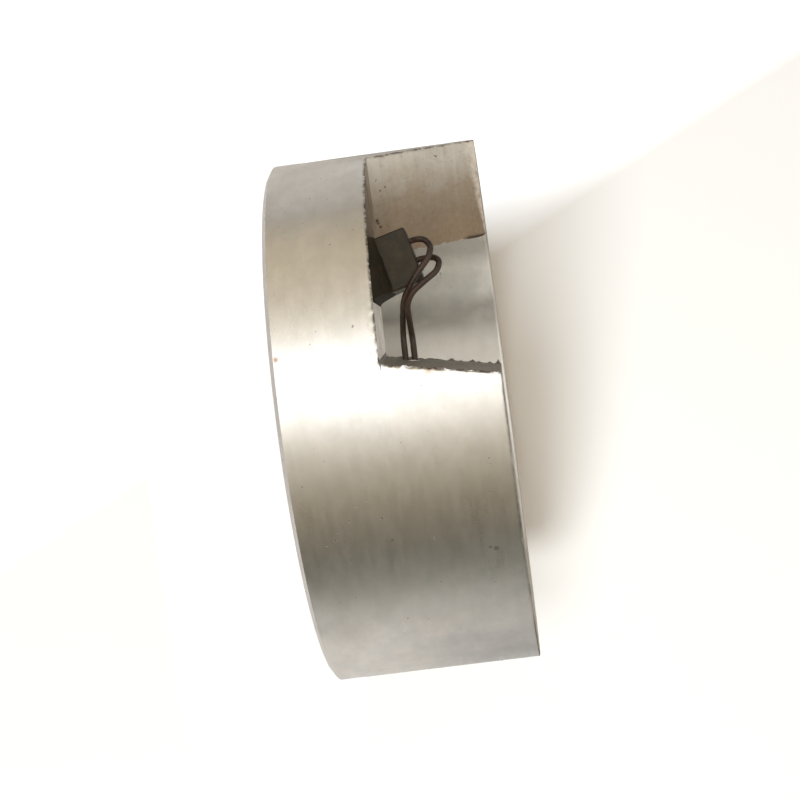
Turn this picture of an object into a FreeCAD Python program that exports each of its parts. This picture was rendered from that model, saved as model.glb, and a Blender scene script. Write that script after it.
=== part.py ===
# Cast aluminium ring heater: a thick turned ring with one single-ended heating element cast inside it.
# A notch is cut through the wall from the top end. The two leads of the element come out of one side
# of the notch and loop into a black terminal block that is bedded on the floor of the notch.
# Millimetres and degrees. +Z is the ring's axis, and the origin is the centre of its bottom end.
# An angle round the ring is counted from -Y towards +X.
import FreeCAD, Part
import math
import os
import re

from FreeCAD import Placement, Rotation, Vector

# Driving dimensions
sizes = {
    # The ring
    "outer_radius": 80.0,
    "bore_radius": 51.0,
    "ring_length": 62.4,
    "bottom_chamfer_height": 1.3,
    "bottom_chamfer_width": 2.0,
    "top_chamfer": 0.3,
    "bore_chamfer": 0.8,
    # The notch: two flat faces that meet inside the bore and flare towards the top end
    "notch_floor": 30.0,
    "notch_corner_x": -19.0,
    "notch_corner_y": -17.8,
    "notch_angle": 5.5,
    "lead_face_angle": 10.7,
    "far_face_angle": 14.0,
    "notch_fillet": 1.4,
    # The heating element, a level arc from its mouth in the notch nearly all the way round
    "element_inset": 6.4,
    "element_angle": 288.0,
    "mouth_angle": -13.2,
    "mouth_height": 37.19,
    "sheath_radius": 3.0,
    "sheath_wall": 0.5,
    "disc_angle": 1.5,
    "hairpin_angle": 4.0,
    "cold_angle": 17.0,
    "seal_angle": 3.0,
    "bush_angle": 5.0,
    "strand_radius": 0.6,
    "strand_offset": 1.3,
    "bridge_radius": 2.1,
    "bridge_angle": 1.5,
    "pin_radius": 0.42,
    "pin_reach_angle": 2.8,
    "channel_gap_angle": 1.5,
    "channel_exit_angle": 8.0,
    # The leads
    "lead_radius": 0.88,
    "conductor_radius": 0.42,
    "sleeve_clearance": 0.06,
    "sleeve_over_pin": 2.2,
    "sleeve_in_block": 2.0,
    "lead_rise": 1.2,
    "lead_tail": 4.7,
    # The terminal block, which leans on its bed
    "block_x": -48.6,
    "block_y": -58.0,
    "block_lean_angle": 14.4,
    "block_width": 16.0,
    "block_depth": 15.0,
    "block_height": 10.4,
    "block_edge": 0.4,
    "first_pole": 4.2,
    "pole_spacing": 5.7,
    "lead_row": 3.5,
    "screw_row": 10.5,
    "block_hole_gap": 0.1,
    # The brass contacts in the block
    "contact_width": 3.6,
    "contact_height": 4.4,
    "contact_floor": 2.4,
    "contact_front": 1.6,
    "contact_recess": 1.0,
    "fit_gap": 0.05,
    "ferrule_wall": 0.2,
    "lead_hole_floor": 0.6,
    "supply_hole_radius": 1.2,
    "supply_hole_depth": 6.0,
    # The clamp screws
    "screw_radius": 1.0,
    "screw_length": 2.2,
    "head_radius": 1.6,
    "head_height": 1.3,
    "head_lift": 0.6,
    "head_gap": 0.2,
    "slot_width": 0.5,
    "slot_depth": 0.7,
    # The bed of sealing compound
    "bed_rim_gap": 0.8,
    "bed_slope_ratio": 2.0,
    "bed_toe": 2.6,
    "bed_waist": 0.8,
    "bed_sag": 0.65,
    "bed_heel": 1.0,
    "bed_skin": 0.3,
    "bed_wrap": 1.6,
    "bed_back": 0.5,
}

# The loose stretch of each lead, from above the block to the element. The loops are as tight as shown.
lead_routes = {
    "a": [(-47.5, -55.2, 43.5), (-47.1, -56.2, 45.5), (-45.0, -57.6, 47.1), (-42.0, -58.8, 46.3),
          (-38.6, -59.6, 43.3), (-34.9, -59.4, 40.2), (-31.1, -57.5, 37.6), (-25.6, -55.8, 36.5)],
    "b": [(-41.9, -55.2, 45.6), (-41.7, -56.2, 47.7), (-40.3, -57.4, 49.0), (-37.6, -58.6, 47.9),
          (-35.5, -59.8, 44.6), (-32.5, -60.3, 40.3), (-29.3, -58.9, 38.4), (-24.3, -56.4, 38.4)],
}
lead_names = ("a", "b")
arc_share = 0.45
tolerance = 1e-4

doc = FreeCAD.newDocument("CastHeater")
sheet = doc.addObject("Spreadsheet::Sheet", "Sizes")
for row, (cell_name, value) in enumerate(sizes.items(), 1):
    sheet.set(f"A{row}", cell_name)
    sheet.set(f"B{row}", str(value))
    sheet.setAlias(f"B{row}", cell_name)
doc.recompute()
cell_words = re.compile(r"\b(" + "|".join(sizes) + r")\b")
up = Vector(0, 0, 1)


def size(name):
    return float(sheet.get(name))


def bind(thing, **formulas):
    """Ties properties to the sheet. A formula names the cells, and a double underscore is a dot."""
    for prop, formula in formulas.items():
        thing.setExpression(prop.replace("__", "."), cell_words.sub(r"Sizes.\1", formula))


def new_body(name, placement=None):
    body = doc.addObject("PartDesign::Body", name)
    if placement:
        body.Placement = placement
    return body


def add(body, kind, name, at=("0", "0", "0"), turn=None, **formulas):
    """A primitive feature of a body, at a place given by three formulas."""
    feature = body.newObject("PartDesign::" + kind, name)
    if turn:
        feature.Placement = Placement(Vector(), turn)
    bind(feature, Placement__Base__x=at[0], Placement__Base__y=at[1], Placement__Base__z=at[2], **formulas)
    return feature


def edge_names(shape, wanted):
    return [f"Edge{i}" for i, edge in enumerate(shape.Edges, 1) if wanted(edge)]


def is_circle(edge, radius, height):
    curve = edge.Curve
    return (isinstance(curve, Part.Circle) and abs(curve.Radius - radius) < tolerance
            and abs(curve.Center.z - height) < tolerance)


def dress(body, kind, name, wanted, **formulas):
    """A chamfer or fillet on the edges of the body's last feature that are wanted."""
    doc.recompute()
    base = body.Tip
    feature = body.newObject("PartDesign::" + kind, name)
    feature.Base = (base, edge_names(base.Shape, wanted))
    bind(feature, **formulas)
    return feature


def joined(kind, name, **links):
    """A boolean of other objects."""
    thing = doc.addObject("Part::" + kind, name)
    for prop, value in links.items():
        setattr(thing, prop, value)
    return thing


# The ring


def make_casting():
    """The turned ring with its chamfers, before the element's channel."""
    body = new_body("Casting")
    add(body, "AdditiveCone", "BottomChamfer", Radius1="outer_radius - bottom_chamfer_width",
        Radius2="outer_radius", Height="bottom_chamfer_height")
    add(body, "AdditiveCylinder", "Wall", ("0", "0", "bottom_chamfer_height"), Radius="outer_radius",
        Height="ring_length - bottom_chamfer_height")
    add(body, "SubtractiveCylinder", "Bore", Radius="bore_radius", Height="ring_length")
    bore, top = size("bore_radius"), size("ring_length")
    dress(body, "Chamfer", "TopEdge", lambda edge: is_circle(edge, size("outer_radius"), top),
          Size="top_chamfer")
    dress(body, "Chamfer", "BoreEdges",
          lambda edge: is_circle(edge, bore, 0) or is_circle(edge, bore, top), Size="bore_chamfer")
    cut_notch(body)
    return body


def cut_notch(body):
    """A wedge with its long edges at the corner where the two faces of the notch meet.

    Its x runs out along the lead face, its y is the ring's axis and its z runs out along the far face.
    """
    notch = body.newObject("PartDesign::SubtractiveWedge", "Notch")
    axes = Rotation(Vector(0, -1, 0), up, Vector(-1, 0, 0), "XYZ")
    notch.Placement = Placement(Vector(), Rotation(up, size("notch_angle")).multiply(axes))
    rise = "(ring_length - notch_floor)"
    bind(notch, Placement__Base__x="notch_corner_x", Placement__Base__y="notch_corner_y",
         Placement__Base__z="notch_floor", Xmin="0", Xmax="outer_radius", X2max="outer_radius",
         X2min=f"-{rise} * tan(far_face_angle * 1 deg)", Ymin="0", Ymax=rise, Zmin="0",
         Zmax="outer_radius", Z2max="outer_radius", Z2min=f"-{rise} * tan(lead_face_angle * 1 deg)")
    floor = size("notch_floor")
    along = Rotation(up, size("notch_angle")).multVec(Vector(0, -1, 0))

    def in_corner(edge):
        ends = [vertex.Point for vertex in edge.Vertexes]
        flat = all(abs(point.z - floor) < tolerance for point in ends)
        return flat and len(ends) == 2 and abs((ends[1] - ends[0]).normalize().dot(along)) > 1 - tolerance

    dress(body, "Fillet", "NotchFillet", in_corner, Radius="notch_fillet")


# The heating element. A turn is an angle from the mouth, back along the element.


def element_radius():
    return size("bore_radius") + size("element_inset")


def on_arc(turn):
    """The point of the element's middle at a turn, and its direction towards the mouth."""
    angle = math.radians(size("mouth_angle") + turn)
    radius = element_radius()
    point = Vector(radius * math.sin(angle), -radius * math.cos(angle), size("mouth_height"))
    return point, Vector(-math.cos(angle), -math.sin(angle), 0)


def arc_rod(name, radius, far, near, lift="0"):
    """A round rod along the element's arc, from the turn far back to the turn near the mouth."""
    rod = doc.addObject("Part::Torus", name)
    bind(rod, Placement__Base__z=f"mouth_height + {lift}",
         Placement__Rotation__Angle=f"mouth_angle + {near} - 90",
         Radius1="bore_radius + element_inset", Radius2=radius, Angle3=f"{far} - ({near})")
    return rod


def make_element(casting):
    """The ring with its channel, and every piece of the element in it."""
    inner = "sheath_radius - sheath_wall"
    channel = arc_rod("Channel", "sheath_radius + fit_gap", "element_angle + channel_gap_angle",
                      "-channel_exit_angle")
    ring = joined("Cut", "Ring", Base=casting, Tool=channel)
    outside = arc_rod("SheathOutside", "sheath_radius", "element_angle", "0")
    inside = arc_rod("SheathInside", inner, "element_angle", "0")
    sheath = joined("Cut", "Sheath", Base=outside, Tool=inside)
    disc = arc_rod("EndDisc", inner, "element_angle", "element_angle - disc_angle")
    # The two strands end in a welded joint at the element's blind end
    strands = [arc_rod("Strand" + side, "strand_radius", "element_angle - hairpin_angle", "cold_angle", lift)
               for side, lift in (("Low", "-strand_offset"), ("High", "strand_offset"))]
    bridge = arc_rod("Bridge", "bridge_radius", "element_angle - hairpin_angle + bridge_angle",
                     "element_angle - hairpin_angle")
    wire = joined("MultiFuse", "ResistanceWire", Shapes=strands + [bridge])
    pins = [arc_rod("Pin" + side, "pin_radius", "cold_angle", "-pin_reach_angle", lift)
            for side, lift in (("Low", "-strand_offset"), ("High", "strand_offset"))]
    pin_pair = joined("Compound", "PinPair", Links=pins)
    filling_rod = arc_rod("FillingRod", inner, "element_angle - disc_angle", "bush_angle + seal_angle")
    seal_rod = arc_rod("SealRod", inner, "bush_angle + seal_angle", "bush_angle")
    bush_rod = arc_rod("BushRod", inner, "bush_angle", "0")
    filling = filling_rod
    for name, tool in (("Pins", pin_pair), ("Bridge", bridge), ("Low", strands[0]), ("High", strands[1])):
        filling = joined("Cut", "Filling" + name, Base=filling, Tool=tool)
    seal = joined("Cut", "Seal", Base=seal_rod, Tool=pin_pair)
    bush = joined("Cut", "Bush", Base=bush_rod, Tool=pin_pair)
    return {"heater_ring": ring, "element_sheath": sheath, "element_end_disc": disc,
            "resistance_wire": wire, "cold_pin_a": pins[0], "cold_pin_b": pins[1],
            "element_filling": filling, "element_seal": seal, "element_end_bush": bush}


# The terminal block. Its own x runs across the poles, its y to the back and its z up.


def block_placement():
    place = Vector(size("block_x"), size("block_y"), size("notch_floor"))
    return Placement(place, Rotation(Vector(0, 1, 0), -size("block_lean_angle")))


def block_point(across, back, height):
    return block_placement().multVec(Vector(across, back, height))


def pole_formula(pole):
    return f"first_pole + {pole} * pole_spacing"


def make_block():
    """The moulded body, with a slot for each contact from the back and two holes over it."""
    body = new_body("Block", block_placement())
    add(body, "AdditiveBox", "Moulding", Length="block_width", Width="block_depth", Height="block_height")
    dress(body, "Chamfer", "BlockEdges", lambda edge: True, Size="block_edge")
    top = "contact_floor + contact_height"
    for pole in range(len(lead_names)):
        middle = pole_formula(pole)
        add(body, "SubtractiveBox", f"Slot{pole}",
            (f"{middle} - contact_width / 2 - fit_gap", "contact_front - fit_gap", "contact_floor - fit_gap"),
            Length="contact_width + 2 * fit_gap", Width="block_depth - contact_front + fit_gap",
            Height="contact_height + 2 * fit_gap")
        add(body, "SubtractiveCylinder", f"LeadEntry{pole}", (middle, "lead_row", top),
            Radius="lead_radius + block_hole_gap", Height="block_height - contact_floor - contact_height")
        add(body, "SubtractiveCylinder", f"ScrewPocket{pole}", (middle, "screw_row", top),
            Radius="head_radius + head_gap", Height="block_height - contact_floor - contact_height")
    return body


def make_contact(pole):
    """A brass bar with a blind hole for the lead, a supply hole from the back and the screw's hole."""
    body = new_body(f"Contact{pole}", block_placement())
    middle = pole_formula(pole)
    add(body, "AdditiveBox", f"Bar{pole}", (f"{middle} - contact_width / 2", "contact_front", "contact_floor"),
        Length="contact_width", Width="block_depth - contact_recess - contact_front", Height="contact_height")
    add(body, "SubtractiveCylinder", f"LeadHole{pole}",
        (middle, "lead_row", "contact_floor + lead_hole_floor"),
        Radius="conductor_radius + ferrule_wall + 2 * fit_gap", Height="contact_height")
    add(body, "SubtractiveCylinder", f"SupplyHole{pole}",
        (middle, "block_depth - contact_recess", "contact_floor + contact_height / 2"),
        Rotation(Vector(1, 0, 0), 90), Radius="supply_hole_radius", Height="supply_hole_depth")
    add(body, "SubtractiveCylinder", f"ScrewHole{pole}",
        (middle, "screw_row", "contact_floor + contact_height / 2"),
        Radius="screw_radius + fit_gap", Height="contact_height")
    return body


def make_ferrule(pole):
    """The tube that is crimped round the lead's end, in the contact's blind hole."""
    body = new_body(f"Ferrule{pole}", block_placement())
    place = (pole_formula(pole), "lead_row", "contact_floor + lead_hole_floor")
    length = "contact_height - lead_hole_floor"
    add(body, "AdditiveCylinder", f"FerruleTube{pole}", place, Height=length,
        Radius="conductor_radius + ferrule_wall + fit_gap")
    add(body, "SubtractiveCylinder", f"FerruleBore{pole}", place, Height=length,
        Radius="conductor_radius + fit_gap")
    return body


def make_screw(pole):
    """A slotted screw whose end reaches into the supply hole."""
    body = new_body(f"Screw{pole}", block_placement())
    middle = pole_formula(pole)
    head = "contact_floor + contact_height + head_lift"
    add(body, "AdditiveCylinder", f"Head{pole}", (middle, "screw_row", head), Radius="head_radius",
        Height="head_height")
    add(body, "AdditiveCylinder", f"Shank{pole}", (middle, "screw_row", f"{head} - screw_length"),
        Radius="screw_radius", Height="screw_length")
    add(body, "SubtractiveBox", f"Slit{pole}",
        (f"{middle} - head_radius", "screw_row - slot_width / 2", f"{head} + head_height - slot_depth"),
        Length="2 * head_radius", Width="slot_width", Height="slot_depth")
    return body


def make_bed(block):
    """The sealing compound that the block leans in, laid by hand out to the notch's outer edge."""
    floor, wrap = size("notch_floor"), size("bed_wrap")
    left = block_point(-size("bed_skin"), 0, wrap)
    right = block_point(size("block_width") + size("bed_skin"), 0, wrap)
    foot = block_point(size("block_width"), 0, 0)
    heel = Vector(size("block_x") - size("bed_heel"), 0, floor)
    toe = Vector(foot.x + size("bed_toe"), 0, floor)
    waist = Vector(foot.x + size("bed_waist"), 0, (floor + right.z) / 2 - size("bed_sag"))
    points = [Vector(point.x, -size("outer_radius"), point.z) for point in (heel, left, right, waist, toe)]
    edges = [Part.LineSegment(points[0], points[1]), Part.LineSegment(points[1], points[2]),
             Part.Arc(points[2], points[3], points[4]), Part.LineSegment(points[4], points[0])]
    outline = doc.addObject("Part::Feature", "BedOutline")
    outline.Shape = Part.Face(Part.Wire([edge.toShape() for edge in edges]))
    heap = doc.addObject("Part::Extrusion", "BedHeap")
    heap.Base = outline
    heap.DirMode = "Custom"
    heap.Dir = Vector(0, 1, 0)
    heap.Solid = True
    bind(heap, LengthFwd="outer_radius + block_y + block_depth + bed_back")
    rim = doc.addObject("Part::Cone", "BedRim")
    bind(rim, Placement__Base__z="notch_floor", Height="block_height",
         Radius1="outer_radius - bed_rim_gap", Radius2="outer_radius - bed_rim_gap - bed_slope_ratio * block_height")
    trimmed = joined("Common", "BedTrimmed", Base=heap, Tool=rim)
    return joined("Cut", "Bed", Base=trimmed, Tool=block)


# The leads


def rounded_path(points, start, end, label):
    """Straight runs joined by tangent arcs, each as large as the two runs between its points allow.

    The start and the end lie on the first and last runs.
    """
    edges, radii = [], []
    for before, corner, after in zip(points, points[1:], points[2:]):
        back, on = before - corner, after - corner
        half = (math.pi - back.getAngle(on)) / 2
        cut = arc_share * min(back.Length, on.Length)
        radii.append(cut / math.tan(half))
        first, last = corner + back.normalize() * cut, corner + on.normalize() * cut
        inward = (back + on).normalize()
        middle = corner + inward * (radii[-1] / math.cos(half) - radii[-1])
        edges += [Part.LineSegment(start, first).toShape(), Part.Arc(first, middle, last).toShape()]
        start = last
    edges.append(Part.LineSegment(start, end).toShape())
    print(label, "bend radii", [round(radius, 2) for radius in radii])
    path = doc.addObject("Part::Feature", label)
    path.Shape = Part.Wire(edges)
    return path


def swept(name, path, radius):
    """A round rod along a path."""
    first = path.Shape.Edges[0]
    section = doc.addObject("Part::Circle", name + "Section")
    section.Placement = Placement(first.valueAt(first.FirstParameter),
                                  Rotation(up, first.tangentAt(first.FirstParameter)))
    bind(section, Radius=radius)
    rod = doc.addObject("Part::Sweep", name)
    rod.Sections = [section]
    rod.Spine = (path, [f"Edge{i}" for i in range(1, len(path.Shape.Edges) + 1)])
    rod.Solid = True
    rod.Frenet = False
    rod.Transition = "Right corner"
    return rod


def make_lead(pole, name):
    """The conductor of a lead, from the bottom of its contact's hole to its pin, and the sleeve on it."""
    across, back = size("first_pole") + pole * size("pole_spacing"), size("lead_row")
    top = size("block_height")
    tip, way = on_arc(-size("pin_reach_angle"))
    tip += up * (size("strand_offset") if pole else -size("strand_offset"))
    loose = [block_point(across, back, top + size("lead_rise"))]
    loose += [Vector(*point) for point in lead_routes[name]] + [tip + way * size("lead_tail")]
    hole_end = block_point(across, back, size("contact_floor") + size("lead_hole_floor"))
    sleeve_end = block_point(across, back, top - size("sleeve_in_block"))
    points = [hole_end] + loose + [tip]
    core = rounded_path(points, hole_end, tip, f"ConductorPath{name.upper()}")
    cover = rounded_path(points, sleeve_end, tip - way * size("sleeve_over_pin"), f"SleevePath{name.upper()}")
    conductor = swept(f"Conductor{name.upper()}", core, "conductor_radius")
    outside = swept(f"SleeveOutside{name.upper()}", cover, "lead_radius")
    inside = swept(f"SleeveInside{name.upper()}", cover, "conductor_radius + sleeve_clearance")
    return conductor, joined("Cut", f"Sleeve{name.upper()}", Base=outside, Tool=inside), core


def build():
    """Every piece of the heater by its name."""
    nodes = make_element(make_casting())
    block = make_block()
    nodes["terminal_block"] = block
    for pole, name in enumerate(lead_names):
        nodes["contact_" + name] = make_contact(pole)
        nodes["lead_ferrule_" + name] = make_ferrule(pole)
        conductor, sleeve, path = make_lead(pole, name)
        nodes["lead_conductor_" + name] = conductor
        nodes["lead_sleeve_" + name] = sleeve
        doc.recompute()
        plain = path.Shape.Length * math.pi * size("conductor_radius") ** 2
        print(f"lead {name}: {path.Shape.Length:.1f} mm long, volume {conductor.Shape.Volume / plain:.4f} of plain")
    nodes["clamp_screws"] = joined("Compound", "Screws",
                                   Links=[make_screw(pole) for pole in range(len(lead_names))])
    nodes["sealing_bed"] = make_bed(block)
    return nodes


def export(nodes):
    doc.recompute()
    failed = [thing.Name for thing in doc.Objects if {"Invalid", "Error"} & set(thing.State)]
    if failed:
        raise RuntimeError("these objects failed: " + ", ".join(failed))
    for name, thing in nodes.items():
        shape = thing.Shape
        if shape.isNull() or not shape.isValid() or not shape.Solids:
            raise RuntimeError(name + " has no valid solid")
        thing.Label = name
        print(f"{name}: {len(shape.Solids)} solid, {shape.Volume:.1f} cubic mm")
    os.makedirs("parts", exist_ok=True)
    for name, thing in nodes.items():
        thing.Shape.exportStep(f"parts/{name}.step")


export(build())
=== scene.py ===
import math
import bpy
import numpy as np
from mathutils import Matrix


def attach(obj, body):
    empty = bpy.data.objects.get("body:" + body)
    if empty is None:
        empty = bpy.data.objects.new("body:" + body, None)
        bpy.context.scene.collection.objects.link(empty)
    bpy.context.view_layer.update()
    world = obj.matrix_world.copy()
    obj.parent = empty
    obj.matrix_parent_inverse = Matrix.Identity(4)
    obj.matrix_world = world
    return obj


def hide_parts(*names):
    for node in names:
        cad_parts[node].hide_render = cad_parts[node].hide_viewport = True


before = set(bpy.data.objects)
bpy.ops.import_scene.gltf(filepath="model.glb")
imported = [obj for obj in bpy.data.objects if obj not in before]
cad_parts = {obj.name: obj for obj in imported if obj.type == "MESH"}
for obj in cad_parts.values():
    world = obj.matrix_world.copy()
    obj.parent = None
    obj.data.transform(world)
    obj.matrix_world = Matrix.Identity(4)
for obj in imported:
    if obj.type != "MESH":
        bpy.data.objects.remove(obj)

scene = bpy.context.scene
mm = 0.001
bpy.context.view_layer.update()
print("frame loaded:", len(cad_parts), "nodes")

# Camera: the photograph's place and direction
cameraValues = {
    "place": (0.0, -0.59007, 0.06659),
    "right": (0.128704, 0.063319, 0.989659),
    "up": (-0.991666, 0.002344, 0.128815),
    "back": (0.005837, -0.997991, 0.063093),
    "lens": 85.5,
}


def makeCamera():
    data = bpy.data.cameras.new("photoCamera")
    data.sensor_width, data.lens, data.clip_start, data.clip_end = 36.0, cameraValues["lens"], 0.01, 50.0
    camera = bpy.data.objects.new("photoCamera", data)
    scene.collection.objects.link(camera)
    axes = Matrix([cameraValues["right"], cameraValues["up"], cameraValues["back"]]).transposed()
    camera.matrix_world = Matrix.Translation(cameraValues["place"]) @ axes.to_4x4()
    scene.camera = camera


makeCamera()
print("camera placed")


# Small helpers for node materials
def newMaterial(name):
    material = bpy.data.materials.new(name)
    material.use_nodes = True
    tree = material.node_tree
    tree.nodes.clear()
    output = tree.nodes.new("ShaderNodeOutputMaterial")
    return material, tree, output


def node(tree, kind, **settings):
    made = tree.nodes.new("ShaderNode" + kind)
    for name, value in settings.items():
        setattr(made, name, value)
    return made


def link(tree, source, target):
    tree.links.new(source, target)


def mathNode(tree, operation, *values):
    made = node(tree, "Math", operation=operation)
    for place, value in enumerate(values):
        if isinstance(value, (int, float)):
            made.inputs[place].default_value = value
        else:
            link(tree, value, made.inputs[place])
    return made.outputs[0]


def times(tree, first, second):
    return mathNode(tree, "MULTIPLY", first, second)


def objectPoint(tree):
    return node(tree, "TexCoord").outputs["Object"]


def coordinates(tree, point):
    made = node(tree, "SeparateXYZ")
    link(tree, point, made.inputs[0])
    return made.outputs


def stretched(tree, point, scales):
    made = node(tree, "Mapping")
    made.inputs["Scale"].default_value = scales
    link(tree, point, made.inputs["Vector"])
    return made.outputs[0]


def noise(tree, vector, scale, detail, rough):
    made = node(tree, "TexNoise")
    made.inputs["Scale"].default_value = scale
    made.inputs["Detail"].default_value = detail
    made.inputs["Roughness"].default_value = rough
    link(tree, vector, made.inputs["Vector"])
    return made.outputs["Fac"]


def spread(tree, value, low, high, toLow=0.0, toHigh=1.0):
    made = node(tree, "MapRange")
    for name, number in (("From Min", low), ("From Max", high), ("To Min", toLow), ("To Max", toHigh)):
        made.inputs[name].default_value = number
    link(tree, value, made.inputs["Value"])
    return made.outputs[0]


# A Mix node that mixes colours takes the share and both colours in its sockets 0, 6 and 7
def mixColor(tree, share, first, second):
    made = node(tree, "Mix", data_type="RGBA")
    for place, value in ((0, share), (6, first), (7, second)):
        if isinstance(value, (int, float)):
            made.inputs[place].default_value = value
        elif isinstance(value, tuple):
            made.inputs[place].default_value = (*value, 1.0)
        else:
            link(tree, value, made.inputs[place])
    return made.outputs[2]


def ramp(tree, value, stops):
    made = node(tree, "ValToRGB")
    band = made.color_ramp
    while len(band.elements) < len(stops):
        band.elements.new(1.0)
    for element, (place, color) in zip(band.elements, stops):
        element.position = place
        element.color = (*color, 1.0)
    link(tree, value, made.inputs[0])
    return made.outputs[0]


def bump(tree, height, depth, after=None):
    made = node(tree, "Bump")
    made.inputs["Strength"].default_value = 1.0
    made.inputs["Distance"].default_value = depth
    link(tree, height, made.inputs["Height"])
    if after:
        link(tree, after, made.inputs["Normal"])
    return made.outputs[0]


def surface(tree, output, settings, color=None, roughness=None, normal=None, tangent=None):
    shader = node(tree, "BsdfPrincipled")
    for name, value in settings.items():
        shader.inputs[name].default_value = value
    sources = {"Base Color": color, "Roughness": roughness, "Normal": normal, "Tangent": tangent}
    for name, source in sources.items():
        if source:
            link(tree, source, shader.inputs[name])
    link(tree, shader.outputs[0], output.inputs[0])


def attribute(tree, name):
    return node(tree, "Attribute", attribute_name=name).outputs["Fac"]


def newObject(name, points, faces, materials):
    mesh = bpy.data.meshes.new(name)
    mesh.from_pydata(points, [], faces)
    for material in materials:
        mesh.materials.append(material)
    made = bpy.data.objects.new(name, mesh)
    scene.collection.objects.link(made)
    return made


# The ring: every face of the turned casting is worked out from these values, in millimetres and degrees
ringValues = {
    "outer": 80.0, "bore": 51.0, "length": 62.4,
    "bottomHeight": 1.3, "bottomWidth": 2.0, "topChamfer": 0.3, "boreChamfer": 0.8,
    "floor": 30.0, "corner": (-19.0, -17.8), "turn": 5.5,
    "leadFlare": 10.7, "farFlare": 14.0, "fillet": 1.4,
    "columns": 376, "floorColumns": 130, "rows": 58, "steps": 54,
    "belowFloor": (0, 0.35, 0.9, 2.0), "lowRowsFrom": 6.0, "weld": 2e-4, "sharpAngle": 32,
    "wearWidth": 0.34, "outerWear": 0.38, "boreWear": 0.22, "burrWidth": 0.6, "rimRoughness": 0.28,
    # burrs by their height up the ring, size and half width
    "burrs": ((48.6, 0.55, 0.45), (54.6, 0.65, 0.4), (61.6, 0.9, 0.5)),
    # waves by their size, seed and share
    "raggedWaves": ((1.6, 5, 1.1), (5.0, 6, 0.8)), "nickWaves": ((1.8, 8, 1.0), (9.0, 9, 1.0)),
    "rimWaves": ((1.1, 11, 1.0), (3.0, 12, 0.35)),
    "nickDepth": 0.28, "nickInset": 0.15, "nickWidth": 0.45, "nickLimit": 0.75,
    # the colours at the cut edge and at the bore's edge are partly painted shade
    "cutEdgeReach": 0.9, "boreEdgeReach": 0.8, "topEdgeReach": 0.6,   # how far each worn edge's colour goes
}


# Quads of a grid of points that are numbered row by row
def lattice(columnCount, rowCount):
    numbers = np.arange(columnCount * rowCount).reshape(rowCount, columnCount)
    return np.stack([numbers[:-1, :-1], numbers[:-1, 1:], numbers[1:, 1:], numbers[1:, :-1]], -1).reshape(-1, 4)


# Smooth noise between -1 and 1: a sum of sines that run in fixed random directions
def wave(points, size, seed):
    picker = np.random.default_rng(seed)
    total = np.zeros(len(points))
    for share in (1.0, 0.7, 0.5, 0.36):
        for _ in range(4):
            way = picker.normal(size=3)
            way *= 2 * np.pi / (size * share * 1.6) / np.linalg.norm(way)
            total += share * np.sin(points @ way + picker.uniform(0, 6.283))
    return total / 3.2


# Several waves added, each by its size, seed and share
def waves(points, parts):
    return sum(share * wave(points, size, seed) for size, seed, share in parts)


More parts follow.
